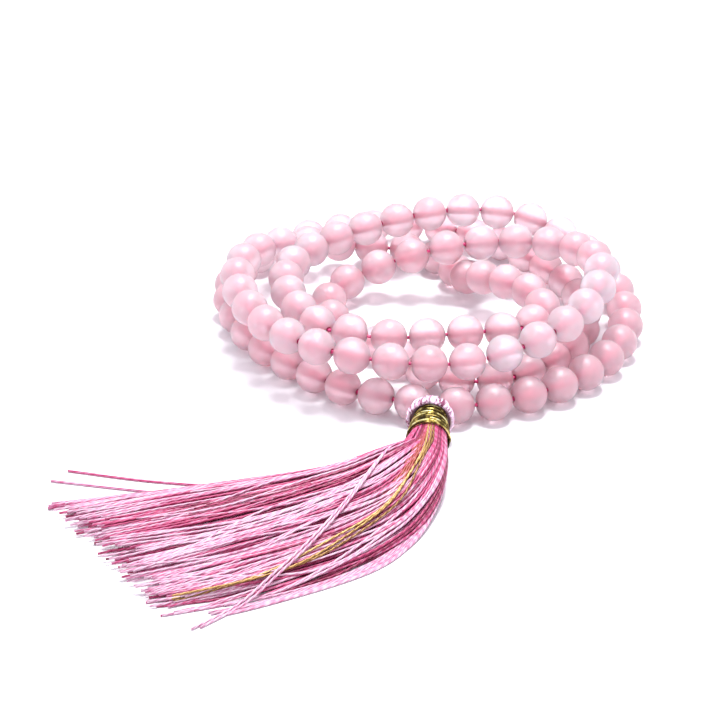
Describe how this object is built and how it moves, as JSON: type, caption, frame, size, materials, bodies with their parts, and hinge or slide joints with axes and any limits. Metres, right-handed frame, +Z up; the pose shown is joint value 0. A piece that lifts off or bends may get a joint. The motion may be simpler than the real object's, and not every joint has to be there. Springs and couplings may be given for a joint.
{
  "type": "prayer bead strand",
  "caption": "Mala of round pink stone beads on one cord, lying in loose turns on a table, closed by a gold-bound pink thread tassel.",
  "frame": {"origin": "The middle of the lying turns, on the table top.", "axes": "+Z is up from the table. -Y is the side where the tassel leaves the turns, and the tassel bends towards -X."},
  "size_m": [0.1243, 0.1694, 0.0208],
  "materials": {
    "stone": "satin",
    "stringing_cord": "matte",
    "tassel_thread": "silky",
    "gold_thread": "metallic thread"
  },
  "bodies": {
    "strand": {"cord_outer_right": "stringing_cord", "cord_front": "stringing_cord", "cord_second": "stringing_cord", "cord_lowest": "stringing_cord", "beads_outer_right": "stone", "beads_inner": "stone", "beads_back": "stone", "beads_lowest_right": "stone", "beads_lowest_left": "stone"},
    "back_turn": {"cord_back_lift": "stringing_cord", "beads_back_lift": "stone"},
    "left_turn": {"cord_left_lift": "stringing_cord"},
    "outer_turn": {"cord_outer_lift": "stringing_cord", "beads_outer_lift": "stone"},
    "right_turn": {"cord_right_lift": "stringing_cord"},
    "loop": {"tassel_loop": "tassel_thread", "loop_knot": "tassel_thread"},
    "tassel_head": {"tassel_cap": "tassel_thread", "thread_core": "tassel_thread", "gold_binding": "gold_thread"},
    "skirt": {"tassel_skirt": "tassel_thread", "gold_thread_1": "gold_thread", "gold_thread_2": "gold_thread", "gold_thread_3": "gold_thread", "loose_thread_1": "tassel_thread", "loose_thread_2": "tassel_thread", "loose_thread_3": "tassel_thread"},
    "bead_001_body": {"bead_001": "stone"},
    "bead_002_body": {"bead_002": "stone"},
    "bead_003_body": {"bead_003": "stone"},
    "bead_004_body": {"bead_004": "stone"},
    "bead_019_body": {"bead_019": "stone"},
    "bead_020_body": {"bead_020": "stone"},
    "bead_021_body": {"bead_021": "stone"},
    "bead_022_body": {"bead_022": "stone"},
    "bead_023_body": {"bead_023": "stone"},
    "bead_024_body": {"bead_024": "stone"},
    "bead_025_body": {"bead_025": "stone"},
    "bead_026_body": {"bead_026": "stone"},
    "bead_027_body": {"bead_027": "stone"},
    "bead_028_body": {"bead_028": "stone"},
    "bead_029_body": {"bead_029": "stone"},
    "bead_030_body": {"bead_030": "stone"},
    "bead_031_body": {"bead_031": "stone"},
    "bead_032_body": {"bead_032": "stone"},
    "bead_051_body": {"bead_051": "stone"},
    "bead_052_body": {"bead_052": "stone"},
    "bead_053_body": {"bead_053": "stone"},
    "bead_054_body": {"bead_054": "stone"},
    "bead_055_body": {"bead_055": "stone"},
    "bead_056_body": {"bead_056": "stone"},
    "bead_057_body": {"bead_057": "stone"},
    "bead_058_body": {"bead_058": "stone"},
    "bead_059_body": {"bead_059": "stone"},
    "bead_060_body": {"bead_060": "stone"},
    "bead_061_body": {"bead_061": "stone"},
    "bead_062_body": {"bead_062": "stone"},
    "bead_106_body": {"bead_106": "stone"},
    "bead_107_body": {"bead_107": "stone"},
    "bead_108_body": {"bead_108": "stone"}
  },
  "joints": [
    {"name": "back_turn_lift", "type": "hinge", "parent": "strand", "child": "back_turn", "pos_m": [0.01396, 0.01496, 0.00982], "axis": [0.9847, -0.1217, -0.1249], "range_deg": [0, 20]},
    {"name": "left_turn_lift", "type": "hinge", "parent": "strand", "child": "left_turn", "pos_m": [-0.01874, -0.00538, 0.01301], "axis": [0.3311, 0.9436, -0.0034], "range_deg": [0, 20]},
    {"name": "outer_turn_lift", "type": "hinge", "parent": "strand", "child": "outer_turn", "pos_m": [-0.03186, -0.0098, 0.01131], "axis": [0.0524, 0.9961, -0.0705], "range_deg": [0, 25]},
    {"name": "right_turn_lift", "type": "hinge", "parent": "strand", "child": "right_turn", "pos_m": [0.02417, -0.02799, 0.01433], "axis": [-0.5902, -0.7993, -0.1132], "range_deg": [0, 25]},
    {"name": "bead_001_spin", "type": "hinge", "parent": "strand", "child": "bead_001_body", "pos_m": [0.00464, -0.05131, 0.0039], "axis": [0.9991, 0.0416, 0], "continuous": true},
    {"name": "bead_002_spin", "type": "hinge", "parent": "strand", "child": "bead_002_body", "pos_m": [0.01253, -0.0499, 0.0039], "axis": [0.9514, 0.3079, 0], "continuous": true},
    {"name": "bead_003_spin", "type": "hinge", "parent": "strand", "child": "bead_003_body", "pos_m": [0.01995, -0.04676, 0.0039], "axis": [0.8835, 0.4684, 0], "continuous": true},
    {"name": "bead_004_spin", "type": "hinge", "parent": "strand", "child": "bead_004_body", "pos_m": [0.0267, -0.04236, 0.0039], "axis": [0.7852, 0.6193, 0], "continuous": true},
    {"name": "bead_019_spin", "type": "hinge", "parent": "left_turn", "child": "bead_019_body", "pos_m": [-0.01404, 0.01597, 0.01279], "axis": [-0.8658, -0.4992, -0.0333], "continuous": true},
    {"name": "bead_020_spin", "type": "hinge", "parent": "left_turn", "child": "bead_020_body", "pos_m": [-0.02064, 0.01135, 0.01257], "axis": [-0.7653, -0.6432, -0.0226], "continuous": true},
    {"name": "bead_021_spin", "type": "hinge", "parent": "left_turn", "child": "bead_021_body", "pos_m": [-0.02621, 0.00555, 0.01246], "axis": [-0.6116, -0.7911, -0.0042], "continuous": true},
    {"name": "bead_022_spin", "type": "hinge", "parent": "left_turn", "child": "bead_022_body", "pos_m": [-0.03008, -0.00145, 0.0125], "axis": [-0.3446, -0.9386, 0.0136], "continuous": true},
    {"name": "bead_023_spin", "type": "hinge", "parent": "left_turn", "child": "bead_023_body", "pos_m": [-0.03154, -0.00929, 0.01269], "axis": [-0.0186, -0.9992, 0.0343], "continuous": true},
    {"name": "bead_024_spin", "type": "hinge", "parent": "left_turn", "child": "bead_024_body", "pos_m": [-0.0308, -0.01729, 0.01293], "axis": [0.2017, -0.9791, 0.0244], "continuous": true},
    {"name": "bead_025_spin", "type": "hinge", "parent": "left_turn", "child": "bead_025_body", "pos_m": [-0.02846, -0.025, 0.01306], "axis": [0.3771, -0.9261, 0.0085], "continuous": true},
    {"name": "bead_026_spin", "type": "hinge", "parent": "strand", "child": "bead_026_body", "pos_m": [-0.02436, -0.03186, 0.01303], "axis": [0.6382, -0.7697, -0.0167], "continuous": true},
    {"name": "bead_027_spin", "type": "hinge", "parent": "strand", "child": "bead_027_body", "pos_m": [-0.01751, -0.03577, 0.01261], "axis": [0.9797, -0.184, -0.08], "continuous": true},
    {"name": "bead_028_spin", "type": "hinge", "parent": "strand", "child": "bead_028_body", "pos_m": [-0.0092, -0.03651, 0.01214], "axis": [0.9994, 0.0149, -0.0309], "continuous": true},
    {"name": "bead_029_spin", "type": "hinge", "parent": "strand", "child": "bead_029_body", "pos_m": [-0.00113, -0.03608, 0.01218], "axis": [0.995, 0.0914, 0.0413], "continuous": true},
    {"name": "bead_030_spin", "type": "hinge", "parent": "strand", "child": "bead_030_body", "pos_m": [0.0069, -0.03515, 0.0124], "axis": [0.9903, 0.1384, 0.0119], "continuous": true},
    {"name": "bead_031_spin", "type": "hinge", "parent": "strand", "child": "bead_031_body", "pos_m": [0.01483, -0.03361, 0.01223], "axis": [0.9687, 0.2425, -0.0537], "continuous": true},
    {"name": "bead_032_spin", "type": "hinge", "parent": "strand", "child": "bead_032_body", "pos_m": [0.02154, -0.02945, 0.012], "axis": [0.6602, 0.7511, -0.0014], "continuous": true},
    {"name": "bead_051_spin", "type": "hinge", "parent": "strand", "child": "bead_051_body", "pos_m": [-0.03051, -0.03817, 0.01329], "axis": [0.6612, -0.7487, 0.0467], "continuous": true},
    {"name": "bead_052_spin", "type": "hinge", "parent": "strand", "child": "bead_052_body", "pos_m": [-0.02438, -0.04329, 0.01338], "axis": [0.8556, -0.5171, -0.0238], "continuous": true},
    {"name": "bead_053_spin", "type": "hinge", "parent": "strand", "child": "bead_053_body", "pos_m": [-0.01699, -0.04622, 0.01285], "axis": [0.9719, -0.2088, -0.1084], "continuous": true},
    {"name": "bead_054_spin", "type": "hinge", "parent": "strand", "child": "bead_054_body", "pos_m": [-0.00903, -0.04736, 0.01209], "axis": [0.9942, -0.0733, -0.0782], "continuous": true},
    {"name": "bead_055_spin", "type": "hinge", "parent": "strand", "child": "bead_055_body", "pos_m": [-0.00097, -0.04747, 0.01159], "axis": [0.9978, 0.0469, -0.046], "continuous": true},
    {"name": "bead_056_spin", "type": "hinge", "parent": "strand", "child": "bead_056_body", "pos_m": [0.00703, -0.04655, 0.01161], "axis": [0.9822, 0.181, 0.0503], "continuous": true},
    {"name": "bead_057_spin", "type": "hinge", "parent": "right_turn", "child": "bead_057_body", "pos_m": [0.01478, -0.04454, 0.01251], "axis": [0.9328, 0.316, 0.1731], "continuous": true},
    {"name": "bead_058_spin", "type": "hinge", "parent": "right_turn", "child": "bead_058_body", "pos_m": [0.02188, -0.04105, 0.01384], "axis": [0.8234, 0.5453, 0.157], "continuous": true},
    {"name": "bead_059_spin", "type": "hinge", "parent": "right_turn", "child": "bead_059_body", "pos_m": [0.02794, -0.0359, 0.01497], "axis": [0.6748, 0.7279, 0.1214], "continuous": true},
    {"name": "bead_060_spin", "type": "hinge", "parent": "right_turn", "child": "bead_060_body", "pos_m": [0.03268, -0.02947, 0.01586], "axis": [0.4946, 0.8635, 0.0991], "continuous": true},
    {"name": "bead_061_spin", "type": "hinge", "parent": "right_turn", "child": "bead_061_body", "pos_m": [0.03583, -0.02211, 0.01659], "axis": [0.2861, 0.9548, 0.0812], "continuous": true},
    {"name": "bead_062_spin", "type": "hinge", "parent": "right_turn", "child": "bead_062_body", "pos_m": [0.03716, -0.01421, 0.01689], "axis": [0.042, 0.9991, -0.0076], "continuous": true},
    {"name": "bead_106_spin", "type": "hinge", "parent": "strand", "child": "bead_106_body", "pos_m": [-0.01887, -0.04328, 0.0039], "axis": [0.8002, -0.5997, 0], "continuous": true},
    {"name": "bead_107_spin", "type": "hinge", "parent": "strand", "child": "bead_107_body", "pos_m": [-0.01192, -0.04729, 0.0039], "axis": [0.9197, -0.3926, 0], "continuous": true},
    {"name": "bead_108_spin", "type": "hinge", "parent": "strand", "child": "bead_108_body", "pos_m": [-0.00436, -0.05015, 0.0039], "axis": [0.9495, -0.3137, 0], "continuous": true},
    {"name": "tassel_lift", "type": "hinge", "parent": "strand", "child": "loop", "pos_m": [0, -0.0515, 0.0039], "axis": [-1, 0, 0], "range_deg": [0, 40]},
    {"name": "tassel_swing", "type": "hinge", "parent": "loop", "child": "tassel_head", "pos_m": [-0.00065, -0.05515, 0.0051], "axis": [0, 0, 1], "range_deg": [-10, 10]},
    {"name": "skirt_bend", "type": "hinge", "parent": "tassel_head", "child": "skirt", "pos_m": [-0.00189, -0.07286, 0.0051], "axis": [0, 0, 1], "range_deg": [-15, 15]}
  ]
}
